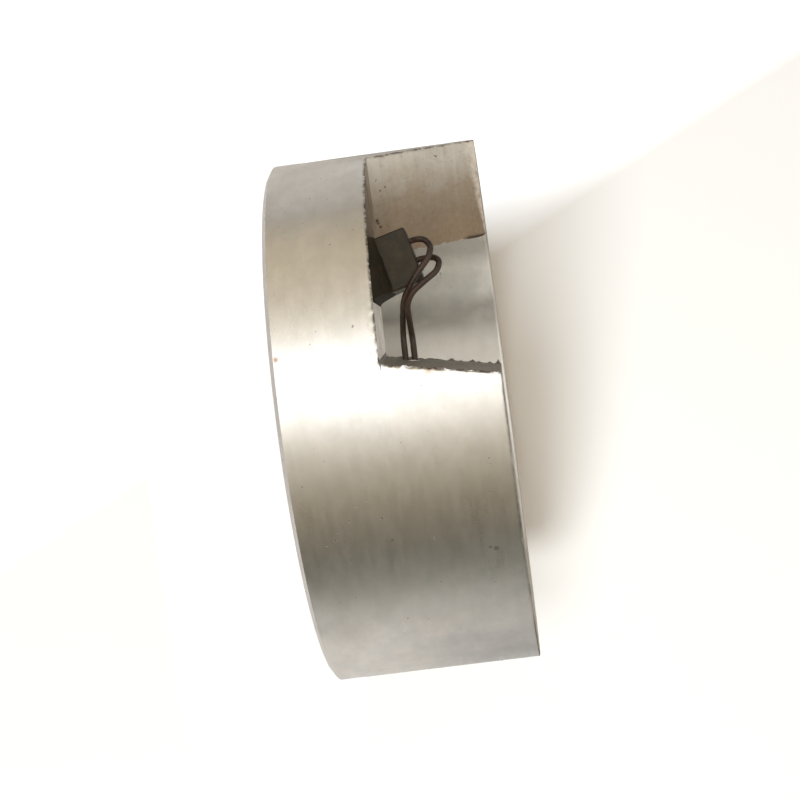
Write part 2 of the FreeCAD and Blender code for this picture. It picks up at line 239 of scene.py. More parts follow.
# The wall's outline is swept from one cut face round to the other, and each cut face is a grid of lines
# that run out from the corner where both faces meet. Then every point near a cut edge is moved by a wave.
def makeRing():
    v = ringValues
    turn = np.radians(v["turn"])
    alongLead = np.array([np.sin(turn), -np.cos(turn)])   # out along the lead face
    alongFar = np.array([-np.cos(turn), -np.sin(turn)])   # out along the far face
    corner = np.array(v["corner"])
    leadTan, farTan = np.tan(np.radians(v["leadFlare"])), np.tan(np.radians(v["farFlare"]))
    reach = v["fillet"] * np.tan(np.radians((90 - v["leadFlare"]) / 2))
    filletTop = reach * np.cos(np.radians(v["leadFlare"]))

    def leadShift(height):   # how far the lead face stands into the notch at a height over the floor
        inside = np.clip(v["fillet"] ** 2 - (v["fillet"] - height) ** 2, 0, None)
        return np.where(height < filletTop, reach - np.sqrt(inside), -height * leadTan)

    def crossing(start, way, radius):   # where a line from start meets a circle round the axis
        b = start @ way
        c = (start ** 2).sum(-1) - radius ** 2
        return start + way * (-b + np.sqrt(b ** 2 - c))[..., None]

    def leadPoint(radius, z):
        height = z - v["floor"]
        return crossing(corner + alongFar * leadShift(height)[..., None], alongLead, radius)

    def farPoint(radius, z):
        height = z - v["floor"]
        return crossing(corner - alongLead * (height * farTan)[..., None], alongFar, radius)

    def angleOf(point):   # counted from -Y towards +X
        return np.arctan2(point[..., 0], -point[..., 1])

    def placed(radius, angle, z):
        radius, angle, z = np.broadcast_arrays(radius, angle, z)
        return np.stack([radius * np.sin(angle), -radius * np.cos(angle), z], -1)

    def closeAtEnds(count, edge):   # shares from 0 to 1, closer together at both ends
        middle = np.linspace(edge[-1], 1 - edge[-1], count - 2 * (len(edge) - 1))
        return np.concatenate([edge[:-1], middle, [1 - e for e in edge[:-1]][::-1]])

    top, outer, bore, floor = v["length"], v["outer"], v["bore"], v["floor"]
    shares = closeAtEnds(v["columns"], (0.0, 0.0005, 0.0012, 0.0024))
    floorShares = closeAtEnds(v["floorColumns"], (0.0, 0.002, 0.005, 0.01))
    steps = closeAtEnds(v["steps"], (0.0, 0.006, 0.016, 0.034))
    filletRows = floor + filletTop * np.array([0, 0.03, 0.11, 0.25, 0.45, 0.7])
    heights = np.concatenate([filletRows, np.linspace(floor + filletTop, top - 2.4, v["rows"]),
                              [top - 1.8, top - 1.3, top - v["boreChamfer"], top - 0.55, top - v["topChamfer"]]])
    # the outline of the wall over the floor: up the outside, over the end and down the bore
    lid = outer - v["topChamfer"] - (outer - v["topChamfer"] - bore - v["boreChamfer"]) * steps
    outline = np.concatenate([
        np.stack([np.full(len(heights), outer), heights], -1),
        np.stack([lid, np.full(len(lid), top)], -1),
        np.stack([bore + np.clip(heights[::-1] - (top - v["boreChamfer"]), 0, None), heights[::-1]], -1)])
    patches = []

    def addPatch(grid, kind):   # a grid of points, rows first, and the number of its finish
        rowCount, columnCount = grid.shape[:2]
        patches.append((grid.reshape(-1, 3), lattice(columnCount, rowCount), kind))

    # upper wall: every point of the outline swept from the lead face round to the far face
    radius, z = outline[:, :1], outline[:, 1:]
    startAngle = angleOf(leadPoint(radius, z))
    endAngle = angleOf(farPoint(radius, z)) + 2 * np.pi
    swept = placed(radius, startAngle + (endAngle - startAngle) * shares, z)
    outside, lidEnd = len(heights), len(heights) + len(lid)
    addPatch(swept[:outside], 0)
    addPatch(swept[outside - 1:lidEnd + 1], 2)
    addPatch(swept[lidEnd:], 1)
    # the two cut faces: for each height the points between the outside and the bore
    edgeOut = outer - np.clip(heights - (top - v["topChamfer"]), 0, None)
    edgeIn = bore + np.clip(heights - (top - v["boreChamfer"]), 0, None)
    faceHeights = np.append(heights, top)
    edgeOut, edgeIn = np.append(edgeOut, outer - v["topChamfer"]), np.append(edgeIn, bore + v["boreChamfer"])
    faceRadius = edgeOut[:, None] + (edgeIn - edgeOut)[:, None] * steps
    for pointOf, kind, flip in ((leadPoint, 4, True), (farPoint, 3, False)):
        flatPoint = pointOf(faceRadius, faceHeights[:, None])
        level = np.broadcast_to(faceHeights[:, None, None], flatPoint.shape[:2] + (1,))
        grid = np.concatenate([flatPoint, level], -1)
        addPatch(grid[:, ::-1] if flip else grid, kind)
    # the floor of the notch, from the far face round to the lead face
    level = np.full(1, floor)
    farOut, farIn = angleOf(farPoint(np.full(1, outer), level)), angleOf(farPoint(np.full(1, bore), level))
    leadOut, leadIn = angleOf(leadPoint(np.full(1, outer), level)), angleOf(leadPoint(np.full(1, bore), level))
    floorRadius = outer + (bore - outer) * steps[:, None]
    farSide, leadSide = angleOf(farPoint(floorRadius, floor)), angleOf(leadPoint(floorRadius, floor))
    addPatch(placed(floorRadius, farSide + (leadSide - farSide) * floorShares, floor), 5)
    # lower wall: a full turn, with the same columns as the parts over it
    aroundOut = np.concatenate([startAngle[0] + (endAngle[0] - startAngle[0]) * shares,
                                farOut + 2 * np.pi + (leadOut - farOut) * floorShares[1:]])
    startIn, endIn = startAngle[-1], endAngle[-1]
    aroundIn = np.concatenate([startIn + (endIn - startIn) * shares,
                               farIn + 2 * np.pi + (leadIn - farIn) * floorShares[1:]])
    closeRows, lowRows = floor - np.array(v["belowFloor"]), floor - v["lowRowsFrom"]
    downward = np.concatenate([closeRows, np.linspace(lowRows, v["bottomHeight"], 7)])
    addPatch(placed(outer, aroundOut[None], downward[:, None])[::-1], 0)
    rimRadius = np.array([outer, outer - v["bottomWidth"] / 2, outer - v["bottomWidth"]])
    rimHeight = np.array([v["bottomHeight"], v["bottomHeight"] / 2, 0.0])
    addPatch(placed(rimRadius[:, None], aroundOut[None], rimHeight[:, None])[::-1], 6)
    share = np.linspace(0, 1, 6)[:, None]
    bottomOut, bottomIn = rimRadius[-1], bore + v["boreChamfer"]
    bottom = placed(bottomOut + (bottomIn - bottomOut) * share, aroundOut + (aroundIn - aroundOut) * share, 0.0)
    addPatch(bottom[::-1], 2)
    boreHeights = np.concatenate([[0.0], np.linspace(v["boreChamfer"], lowRows, 6), closeRows[::-1]])
    boreRadius = bore + np.clip(v["boreChamfer"] - boreHeights, 0, None)
    addPatch(placed(boreRadius[:, None], aroundIn[None], boreHeights[:, None])[::-1], 1)

    points = np.concatenate([patch[0] for patch in patches])
    offset = np.cumsum([0] + [len(patch[0]) for patch in patches[:-1]])
    quads = np.concatenate([patch[1] + start for patch, start in zip(patches, offset)])
    kinds = np.concatenate([np.full(len(patch[1]), patch[2]) for patch in patches])
    points, quads = welded(points, quads, v["weld"])
    # distances into the metal from each cut, for wear
    radiusOf = np.hypot(points[:, 0], points[:, 1])
    flat, over = points[:, :2] - corner, np.clip(points[:, 2] - floor, 0, None)
    toLead = -(flat @ alongFar - leadShift(over))
    toFar = -(flat @ alongLead + over * farTan)
    inNotchSide = (points[:, 0] < 5) & (points[:, 1] < 5)
    far = 1e3
    toLead = np.where(inNotchSide & (points[:, 2] > floor - 0.2) & (points[:, 1] < -40), np.abs(toLead), far)
    toFar = np.where(inNotchSide & (points[:, 2] > floor - 0.2) & (points[:, 0] < -35), np.abs(toFar), far)
    between = (flat @ alongFar > -0.5) & (flat @ alongLead > -0.5)
    toFloor = np.where(between, np.abs(points[:, 2] - floor), far)
    toCut = np.minimum(np.minimum(toLead, toFar), toFloor)
    toOuter, toBore, toTop = np.abs(outer - radiusOf), np.abs(radiusOf - bore), np.abs(top - points[:, 2])
    width = v["wearWidth"]
    outward = np.stack([points[:, 0] / radiusOf, points[:, 1] / radiusOf, np.zeros(len(points))], -1)
    ragged = np.clip(0.5 + waves(points, v["raggedWaves"]), 0, 2.2)
    nearOuterCut = np.exp(-(toCut ** 2 + toOuter ** 2) / width ** 2)
    nearBoreCut = np.exp(-(toCut ** 2 + toBore ** 2) / width ** 2)
    nicks = np.clip(waves(points, v["nickWaves"]) - v["nickLimit"], 0, 1)
    inset = v["nickInset"]
    nearTopOuter = np.exp(-((toTop - inset) ** 2 + (toOuter - inset) ** 2) / v["nickWidth"] ** 2)
    worn = points - outward * (nearOuterCut * ragged * v["outerWear"])[:, None]
    worn += outward * (nearBoreCut * ragged * v["boreWear"])[:, None]
    # burrs that the saw has pushed over the bore's edge of the lead face, and its rough rim
    height = sum(size * np.exp(-((points[:, 2] - place) / wide) ** 2) for place, size, wide in v["burrs"])
    onLeadEdge = np.exp(-(toLead ** 2 + toBore ** 2) / v["burrWidth"] ** 2)
    rough = np.clip(waves(points, v["rimWaves"]), -0.3, 1) * v["rimRoughness"]
    onLeadRim = np.exp(-(toLead ** 2 + toOuter ** 2) / width ** 2)
    worn[:, :2] += alongFar * (onLeadEdge * (height + rough) + onLeadRim * rough)[:, None]
    worn -= (outward + np.array([0, 0, 1.0])) * (nearTopOuter * nicks * v["nickDepth"])[:, None]

    ring = newObject("ringBody", (worn * mm).tolist(), quads.tolist(), ringFinishes)
    mesh = ring.data
    mesh.polygons.foreach_set("material_index", kinds.astype(np.int32))
    mesh.polygons.foreach_set("use_smooth", np.ones(len(quads), bool))
    floorSpan = (angleOf(points) - farOut) / (leadOut - farOut)   # 0 at the far face, 1 at the lead face
    for name, value in (("cutEdge", np.exp(-(toCut + toOuter) / v["cutEdgeReach"])),
                        ("boreEdge", np.exp(-(toCut + toBore) / v["boreEdgeReach"])),
                        ("topEdge", np.exp(-(toTop + toOuter) / v["topEdgeReach"])),
                        ("fromBore", (radiusOf - bore) / (outer - bore)),
                        ("towardsLeads", floorSpan)):
        layer = mesh.attributes.new(name, "FLOAT", "POINT")
        layer.data.foreach_set("value", value.astype(np.float32))
    mesh.validate()
    mesh.update()
    mesh.set_sharp_from_angle(angle=math.radians(v["sharpAngle"]))
    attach(ring, "root")
    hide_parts("heater_ring")
    print("ring made:", len(worn), "points,", len(quads), "quads, open edges", openEdges(quads))


# Points closer than a grid's step become one
def welded(points, quads, step):
    keys = np.round(points / step).astype(np.int64)
    _, first, inverse = np.unique(keys, axis=0, return_index=True, return_inverse=True)
    return points[first], inverse.reshape(-1)[quads]


# The number of edges that don't have two faces
def openEdges(quads):
    sides = np.concatenate([np.stack([quads[:, i], quads[:, (i + 1) % 4]], -1) for i in range(4)])
    sides = np.sort(sides[sides[:, 0] != sides[:, 1]], axis=1)
    _, counts = np.unique(sides, axis=0, return_counts=True)
    return int((counts != 2).sum())


# Finishes of the ring. Lengths in the patterns are in metres, so scales are per metre.
aluminiumValues = {
    "stain": (0.60, 0.55, 0.47), "pit": (0.20, 0.15, 0.12), "groove": (0.62, 0.60, 0.56),
    # the near-black brown serves for dirt, specks and pores, and also for painted shade along edges
    "mottle": (0.58, 0.585, 0.55), "grimeAndShade": (0.060, 0.042, 0.030), "greyStainAndShade": (0.35, 0.355, 0.345),
    "rust": (0.46, 0.32, 0.24),
    "chip": (0.50, 0.41, 0.32), "rimLine": (0.13, 0.11, 0.09), "lowGlance": (0.38, 0.35, 0.30, 1.0),
    "stainShare": 0.55, "grooveShare": 0.12, "mottleShare": 0.42, "pitShare": 0.6, "stainAndShadeShare": 0.92,
    "markShare": 0.5, "brokenEdgeShadeShare": 0.9, "stretch": 0.4,
    # noises: scale, detail and roughness
    "fineNoise": (620.0, 1.0, 0.5), "broadNoise": (260.0, 4.0, 0.6), "strokeNoise": (520.0, 2.0, 0.5),
    "cloudNoise": (26.0, 6.0, 0.62), "mottleNoise": (210.0, 5.0, 0.62), "pitNoise": (900.0, 1.0, 0.4),
    "rimNoise": (170.0, 4.0, 0.55), "crumbNoise": (420.0, 4.0, 0.7),
    # grooves run right round the axis, strokes of the cloth and mottling part of the way
    "grooveRun": 0.02, "strokeRun": (0.2, 0.2, 1.0), "mottleRun": (0.6, 0.6, 1.0),
    # depth of each pattern in depths of a groove, and of the pits in metres
    "fineDepth": 0.6, "broadDepth": 0.7, "strokeDepth": 1.6, "pitDepth": 0.00004,
    # the grey patch on the outside is partly a stain, partly painted shade for the darker reflection there
    "stainAndShadePlace": (0.0760, -0.030, 0.058), "stainAndShadeReach": 0.045,
    # dark marks, one of rust and a chip on the outside: place, reach
    "marks": (((0.0347, -0.0721, 0.0270), 0.0009), ((0.0406, -0.0689, 0.0548), 0.0008),
              ((0.0400, -0.0692, 0.0531), 0.0006)),
    "rustMark": ((-0.0181, -0.0779, 0.0022), 0.0008), "chipMark": ((-0.0098, -0.0794, 0.0430), 0.0019),
    # deep pores in the corner of the notch beside the block
    "cornerPores": (((-0.0575, -0.0213, 0.0308), 0.00070), ((-0.0555, -0.0226, 0.0300), 0.00060),
                    ((-0.0537, -0.0281, 0.0300), 0.00070), ((-0.0556, -0.0210, 0.0315), 0.00050),
                    ((-0.0567, -0.0212, 0.0310), 0.00050), ((-0.0673, -0.0213, 0.0344), 0.00035)),
}
turnedValues = {
    "turnedOutside": {"metal": (0.80, 0.79, 0.76), "depth": 0.0000022, "dull": 1.0, "roughness": 0.27,
                      "metallic": 1.0, "marked": True},
    "turnedBore": {"metal": (0.86, 0.83, 0.755), "depth": 0.0000022, "dull": 0.4, "roughness": 0.30,
                   "metallic": 0.4,
                   # painted reflection: dark and bright bands that run the length of the bore, standing in for
                   # the light and shade it reflects; place across the ring, reach, share and colour
                   "bands": (((-0.0284, 0.0424), 0.0108, 0.9, (0.40, 0.38, 0.34)),
                             ((-0.0500, 0.0100), 0.0170, 0.55, (0.42, 0.39, 0.33)),
                             ((-0.0060, 0.0506), 0.0250, 1.0, (0.99, 0.955, 0.89)))},
    "facedEnd": {"metal": (0.70, 0.66, 0.59), "depth": 0.000003, "dull": 1.0, "roughness": 0.43,
                 "metallic": 1.0, "onEnd": True},
    "chamfer": {"metal": (0.80, 0.79, 0.76), "depth": 0.000003, "dull": 0.5, "roughness": 0.27, "metallic": 1.0},
}


# 1 at a place, falling to 0 at a reach from it, with a ragged rim
def spot(tree, point, place, reach, ragged=None):
    away = node(tree, "VectorMath", operation="DISTANCE")
    link(tree, point, away.inputs[0])
    away.inputs[1].default_value = place
    distance = away.outputs["Value"]
    if ragged:
        distance = mathNode(tree, "ADD", distance, spread(tree, ragged, 0.3, 0.7, -0.4 * reach, 0.4 * reach))
    return spread(tree, distance, 0.25 * reach, reach, 1.0, 0.0)


# Dark, ragged lines where a cut has broken the outer edge: partly dark burrs, partly painted shade beside them
def brokenEdgeShade(tree, point, tint, share):
    a = aluminiumValues
    crumbs = spread(tree, noise(tree, point, *a["crumbNoise"]), 0.36, 0.56)
    near = spread(tree, attribute(tree, "cutEdge"), 0.42, 0.80)
    return mixColor(tree, times(tree, times(tree, near, crumbs), share), tint, a["grimeAndShade"])


# Where grooves are noise stretched round the axis; on an end face they are rings, spaced by the radius
def groovePoint(tree, point, onEnd):
    run = aluminiumValues["grooveRun"]
    if not onEnd:
        return stretched(tree, point, (run, run, 1.0))
    x, y, _ = coordinates(tree, point)
    squares = mathNode(tree, "ADD", mathNode(tree, "POWER", x, 2.0), mathNode(tree, "POWER", y, 2.0))
    radius = mathNode(tree, "SQRT", squares)
    joined = node(tree, "CombineXYZ")
    for place, value in enumerate((times(tree, x, run), times(tree, y, run), radius)):
        link(tree, value, joined.inputs[place])
    return joined.outputs[0]


# Turned metal: fine grooves round the axis, short strokes of the cloth, cloudy stains and sparse pits; painted
# reflection bands on the bore, and on the outside a patch that is partly painted shade, and painted shade along
# the cut edges
def turnedAluminium(name, values):
    a, depth, dull, roughness = aluminiumValues, values["depth"], values["dull"], values["roughness"]
    onEnd = values.get("onEnd", False)
    material, tree, output = newMaterial(name)
    point = objectPoint(tree)
    grooved = groovePoint(tree, point, onEnd)
    fine = noise(tree, grooved, *a["fineNoise"])
    broad = noise(tree, grooved, *a["broadNoise"])
    strokes = noise(tree, stretched(tree, point, a["strokeRun"]), *a["strokeNoise"])
    clouds = noise(tree, point, *a["cloudNoise"])
    mottle = noise(tree, stretched(tree, point, a["mottleRun"]), *a["mottleNoise"])
    pits = spread(tree, noise(tree, point, *a["pitNoise"]), 0.205, 0.225, 1.0, 0.0)
    stained = spread(tree, clouds, 0.42, 0.72, 0.0, a["stainShare"] * dull)
    tint = mixColor(tree, stained, values["metal"], a["stain"])
    tint = mixColor(tree, spread(tree, fine, 0.3, 0.7, 0.0, a["grooveShare"]), tint, a["groove"])
    tint = mixColor(tree, spread(tree, mottle, 0.36, 0.64, 0.0, a["mottleShare"]), tint, a["mottle"])
    tint = mixColor(tree, times(tree, pits, a["pitShare"]), tint, a["pit"])
    breaks = spread(tree, noise(tree, point, *a["rimNoise"]), 0.36, 0.56, 0.4, 1.0)
    rimLine = times(tree, spread(tree, attribute(tree, "topEdge"), 0.2, 0.8), breaks)
    tint = mixColor(tree, rimLine, tint, a["rimLine"])
    rough = mathNode(tree, "ADD", spread(tree, broad, 0.3, 0.7, roughness - 0.02, roughness + 0.03),
                     spread(tree, clouds, 0.35, 0.75, 0.0, 0.12 * dull))
    rough = mathNode(tree, "ADD", rough, spread(tree, strokes, 0.35, 0.65, -0.03, 0.03))
    # painted reflection: the bore's dark and bright bands stand in for the light and shade it reflects
    for place, reach, share, color in values.get("bands", ()):
        near = spot(tree, stretched(tree, point, (1.0, 1.0, 0.0)), (*place, 0.0), reach, clouds)
        tint = mixColor(tree, times(tree, near, share), tint, color)
    if values.get("marked"):
        # partly a grey stain, partly painted shade: a patch near the top end on the +X side that stands in for
        # the darker reflection there
        stainAndShade = spot(tree, point, a["stainAndShadePlace"], a["stainAndShadeReach"], clouds)
        tint = mixColor(tree, times(tree, stainAndShade, a["stainAndShadeShare"]), tint, a["greyStainAndShade"])
        for place, reach in a["marks"]:
            mark = spot(tree, point, place, reach, fine)
            tint = mixColor(tree, times(tree, mark, a["markShare"]), tint, a["pit"])
        tint = mixColor(tree, spot(tree, point, *a["rustMark"], fine), tint, a["rust"])
        tint = mixColor(tree, spot(tree, point, *a["chipMark"], strokes), tint, a["chip"])
        tint = brokenEdgeShade(tree, point, tint, a["brokenEdgeShadeShare"])
    normal = bump(tree, fine, depth * a["fineDepth"])
    normal = bump(tree, broad, depth * a["broadDepth"], normal)
    normal = bump(tree, strokes, depth * a["strokeDepth"], normal)
    normal = bump(tree, mathNode(tree, "SUBTRACT", 1.0, pits), a["pitDepth"], normal)
    settings = {"Metallic": values["metallic"], "Anisotropic": a["stretch"], "Anisotropic Rotation": 0.25}
    tangent = None
    if onEnd:
        settings["Specular Tint"] = a["lowGlance"]
    else:
        tangent = node(tree, "Tangent", direction_type="RADIAL", axis="Z").outputs[0]
    surface(tree, output, settings, tint, rough, normal, tangent)
    return material


# A cut face of the notch: its colour goes from one side to the other by an attribute, which on the far face is a
# painted reflection, and over it lie the cutter's streaks, light scuffs, brown specks, open pores and painted
# shade at the edges
def cutAluminium(name, values):
    c, grimeAndShade = cutPattern, aluminiumValues["grimeAndShade"]
    material, tree, output = newMaterial(name)
    point = objectPoint(tree)
    streaks = noise(tree, stretched(tree, point, values["along"]), values["streakScale"], *c["streaks"])
    clouds = noise(tree, point, *c["clouds"])
    grit = noise(tree, point, *c["grit"])
    pits = spread(tree, noise(tree, point, *c["pits"]), 0.25, 0.29, 1.0, 0.0)
    drift = spread(tree, clouds, 0.3, 0.7, -c["drift"], c["drift"])
    way = mathNode(tree, "ADD", attribute(tree, values["follows"]), drift)
    tint = ramp(tree, way, values["colors"])
    tint = mixColor(tree, spread(tree, streaks, 0.36, 0.68, 0.0, values["streakShare"]), tint, values["streak"])
    tint = mixColor(tree, spread(tree, grit, 0.5, 0.8, 0.0, c["scuffShare"]), tint, values["scuff"])
    tint = mixColor(tree, spread(tree, grit, 0.25, 0.45, c["speckShare"], 0.0), tint, grimeAndShade)
    height = coordinates(tree, point)[2]
    if values.get("wornTop"):   # a scuffed band along the top end, which narrows towards the bore
        band = times(tree, attribute(tree, "fromBore"), spread(tree, clouds, 0.35, 0.65, *c["bandWidths"]))
        below = mathNode(tree, "SUBTRACT", ringValues["length"] * mm, height)
        inBand = spread(tree, mathNode(tree, "DIVIDE", below, band), 0.4, 1.3, 1.0, 0.0)
        scuffed = times(tree, inBand, spread(tree, grit, 0.35, 0.6, 0.2, 0.7))
        tint = mixColor(tree, scuffed, tint, values["scuff"])
    # painted shade: a dark step at the bore's edge, next to the top end, where a burr's shade falls
    if values.get("shadedBoreStep"):   # the dark step at the bore's edge, next to the top end
        atEdge = spread(tree, attribute(tree, "boreEdge"), 0.25, 0.5)
        tint = mixColor(tree, times(tree, atEdge, spread(tree, height, *c["shadedBoreStepHeights"])), tint, grimeAndShade)
    tint = mixColor(tree, times(tree, pits, c["pitShare"]), tint, grimeAndShade)
    for place, reach in aluminiumValues["cornerPores"]:
        tint = mixColor(tree, spot(tree, point, place, reach, grit), tint, grimeAndShade)
    tint = brokenEdgeShade(tree, point, tint, values["edgeShare"])
    normal = bump(tree, streaks, values["depth"])
    normal = bump(tree, grit, values["depth"] * 0.5, normal)
    normal = bump(tree, mathNode(tree, "SUBTRACT", 1.0, pits), c["pitDepth"], normal)
    rough = spread(tree, clouds, 0.3, 0.7, *c["roughness"])
    surface(tree, output, {"Metallic": values["metallic"]}, tint, rough, normal)
    return material


# What the three cut faces share: noises by scale, detail and roughness; each face has its own scale of streaks
cutPattern = {
    "streaks": (5.0, 0.65), "clouds": (70.0, 6.0, 0.62), "grit": (800.0, 4.0, 0.75), "pits": (430.0, 3.0, 0.5),
    "drift": 0.16, "scuffShare": 0.10, "speckShare": 0.28, "pitShare": 0.85, "pitDepth": 0.0002,
    "bandWidths": (0.0012, 0.0046), "shadedBoreStepHeights": (0.0555, 0.0575), "roughness": (0.42, 0.62),
}
cutValues = {
    "milledFarFace": {
        "along": (0.06, 0.06, 1.0), "streakScale": 520.0, "streakShare": 0.22, "depth": 0.00004,
        "metallic": 0.85, "follows": "fromBore", "edgeShare": 0.9, "wornTop": True, "shadedBoreStep": True,
        # painted reflection: the far face's colours darken to brown towards the bore and pale towards the
        # outside, standing in for what it reflects
        "colors": ((0.0, (0.205, 0.153, 0.100)), (0.35, (0.22, 0.170, 0.118)), (0.62, (0.285, 0.235, 0.175)),
                   (0.9, (0.47, 0.44, 0.385))),
        "streak": (0.15, 0.11, 0.075), "scuff": (0.62, 0.56, 0.48),
    },
    "sawnLeadFace": {
        "along": (1.0, 0.1, 1.0), "streakScale": 900.0, "streakShare": 0.5, "depth": 0.00018, "metallic": 0.7,
        "follows": "fromBore", "edgeShare": 0.5,
        "colors": ((0.0, (0.20, 0.185, 0.155)), (1.0, (0.24, 0.22, 0.19))),
        "streak": (0.12, 0.105, 0.085), "scuff": (0.42, 0.39, 0.34),
    },
    "milledFloor": {
        "along": (0.3, 0.3, 1.0), "streakScale": 700.0, "streakShare": 0.3, "depth": 0.00005, "metallic": 0.85,
        "follows": "towardsLeads", "edgeShare": 1.0,
        "colors": ((0.0, (0.47, 0.43, 0.37)), (0.14, (0.38, 0.33, 0.25)), (0.30, (0.19, 0.15, 0.11)),
                   (0.60, (0.15, 0.12, 0.085)), (0.68, (0.60, 0.56, 0.49)), (0.80, (0.97, 0.93, 0.86))),
        "streak": (0.22, 0.17, 0.12), "scuff": (0.62, 0.57, 0.50),
    },
}
# The ring's faces count their finishes from 0: outside, bore, ends, far face, lead face, floor, chamfer
turned = {name: turnedAluminium(name, values) for name, values in turnedValues.items()}
ringFinishes = [turned["turnedOutside"], turned["turnedBore"], turned["facedEnd"],
                *(cutAluminium(name, values) for name, values in cutValues.items()), turned["chamfer"]]
makeRing()


# Finishes of the other pieces
# A cloudy colour with a grain that is as fine as the piece's
def plainFinish(name, color, dark, roughness, metallic, scale, depth, grain=(1, 1, 1), gloss=0.5):
    material, tree, output = newMaterial(name)
    point = objectPoint(tree)
    cloud = noise(tree, point, scale, 5.0, 0.6)
    fine = noise(tree, stretched(tree, point, grain), scale * 6, 3.0, 0.6)
    tint = mixColor(tree, spread(tree, cloud, 0.35, 0.65), dark, color)
    rough = spread(tree, fine, 0.3, 0.7, roughness - 0.08, roughness + 0.08)
    settings = {"Metallic": metallic, "Specular IOR Level": gloss}
    surface(tree, output, settings, tint, rough, bump(tree, fine, depth))
    return material


# Varnished braid: two sets of strands that cross, and a dark brown coat that lets them show
def braidedSleeve():
    material, tree, output = newMaterial("varnishedBraid")
    point = objectPoint(tree)
    first = node(tree, "TexWave", wave_type="BANDS", bands_direction="DIAGONAL")
    second = node(tree, "TexWave", wave_type="BANDS", bands_direction="DIAGONAL")
    for texture, scales in ((first, (1, 1, 1)), (second, (-1, 1, 1))):
        texture.inputs["Scale"].default_value = 330.0
        texture.inputs["Distortion"].default_value = 0.6
        link(tree, stretched(tree, point, scales), texture.inputs["Vector"])
    weave = times(tree, first.outputs["Fac"], second.outputs["Fac"])
    cloud = noise(tree, point, 170.0, 4.0, 0.6)
    tint = mixColor(tree, spread(tree, cloud, 0.35, 0.65), (0.012, 0.007, 0.0045), (0.027, 0.0155, 0.0095))
    tint = mixColor(tree, spread(tree, weave, 0.0, 0.8, 0.0, 0.3), tint, (0.047, 0.029, 0.018))
    rough = spread(tree, cloud, 0.3, 0.7, 0.30, 0.45)
    coat = {"Coat Weight": 0.06, "Coat Roughness": 0.3, "Specular IOR Level": 0.3}
    surface(tree, output, coat, tint, rough, bump(tree, weave, 0.00003))
    return material


# Pale and dark colour, roughness, metallic, scale of the clouds, depth of the grain, then how far the
# grain is stretched and the gloss where they aren't the plain ones
plainValues = {
    "sheathSteel": ((0.36, 0.33, 0.29), (0.20, 0.17, 0.14), 0.42, 1.0, 400.0, 0.00001),
    "magnesia": ((0.72, 0.69, 0.62), (0.60, 0.57, 0.50), 0.85, 0.0, 900.0, 0.00003),
    "alloy": ((0.34, 0.32, 0.30), (0.22, 0.20, 0.18), 0.5, 1.0, 600.0, 0.00001),
    "nickel": ((0.62, 0.58, 0.52), (0.42, 0.38, 0.33), 0.35, 1.0, 700.0, 0.000006),
    "resin": ((0.30, 0.12, 0.06), (0.18, 0.07, 0.03), 0.4, 0.0, 500.0, 0.00002),
    "bushCeramic": ((0.66, 0.60, 0.50), (0.50, 0.43, 0.34), 0.7, 0.0, 700.0, 0.00002),
    "blockMoulding": ((0.0175, 0.0122, 0.0050), (0.0095, 0.0068, 0.0030), 0.5, 0.0, 260.0, 0.00003,
                      (1, 1, 1), 0.3),
    "contactBrass": ((0.60, 0.42, 0.18), (0.42, 0.28, 0.11), 0.36, 1.0, 500.0, 0.00001, (1, 0.1, 1)),
    "screwSteel": ((0.56, 0.55, 0.52), (0.38, 0.36, 0.32), 0.34, 1.0, 600.0, 0.00001),
    "sealingCompound": ((0.020, 0.0145, 0.0068), (0.012, 0.009, 0.0045), 0.75, 0.0, 220.0, 0.00006,
                        (1, 1, 1), 0.15),
}
finishes = {name: plainFinish(name, *values) for name, values in plainValues.items()}
finishes["varnishedBraid"] = braidedSleeve()
nodeFinishes = {
    "element_sheath": "sheathSteel", "element_end_disc": "sheathSteel", "element_filling": "magnesia",
    "resistance_wire": "alloy", "cold_pin_a": "nickel", "cold_pin_b": "nickel", "element_seal": "resin",
    "element_end_bush": "bushCeramic", "lead_conductor_a": "nickel", "lead_conductor_b": "nickel",
    "lead_sleeve_a": "varnishedBraid", "lead_sleeve_b": "varnishedBraid", "lead_ferrule_a": "nickel",
    "lead_ferrule_b": "nickel", "terminal_block": "blockMoulding", "contact_a": "contactBrass",
    "contact_b": "contactBrass", "clamp_screws": "screwSteel",
}
for name, finish in nodeFinishes.items():
    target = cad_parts[name]
    target.data.materials.clear()
    target.data.materials.append(finishes[finish])
print("finishes given to", len(nodeFinishes), "nodes")


# The sealing compound, laid by hand round the foot of the block
bedValues = {
    "floor": 30.0, "heel": -49.6, "toe": -30.5, "rim": 79.2, "back": -42.5,
    "rampStart": (-49.3, 1.5), "rampEnd": (-33.2, 5.7), "rimSlope": 2.0, "toeReach": 2.7, "toeCurve": 2.2,
    "heelStep": (3.0, 0.35), "backStep": (4.0, 0.5), "blendPower": 5.0, "weld": 1e-5,
    "lumps": 0.06, "lumpWaves": ((5.0, 21, 1.0), (2.0, 22, 0.5)), "columns": 90, "rows": 120,
    "block": (-48.6, -58.0), "blockWidth": 16.0, "blockDepth": 15.0, "blockLean": 14.4,
}


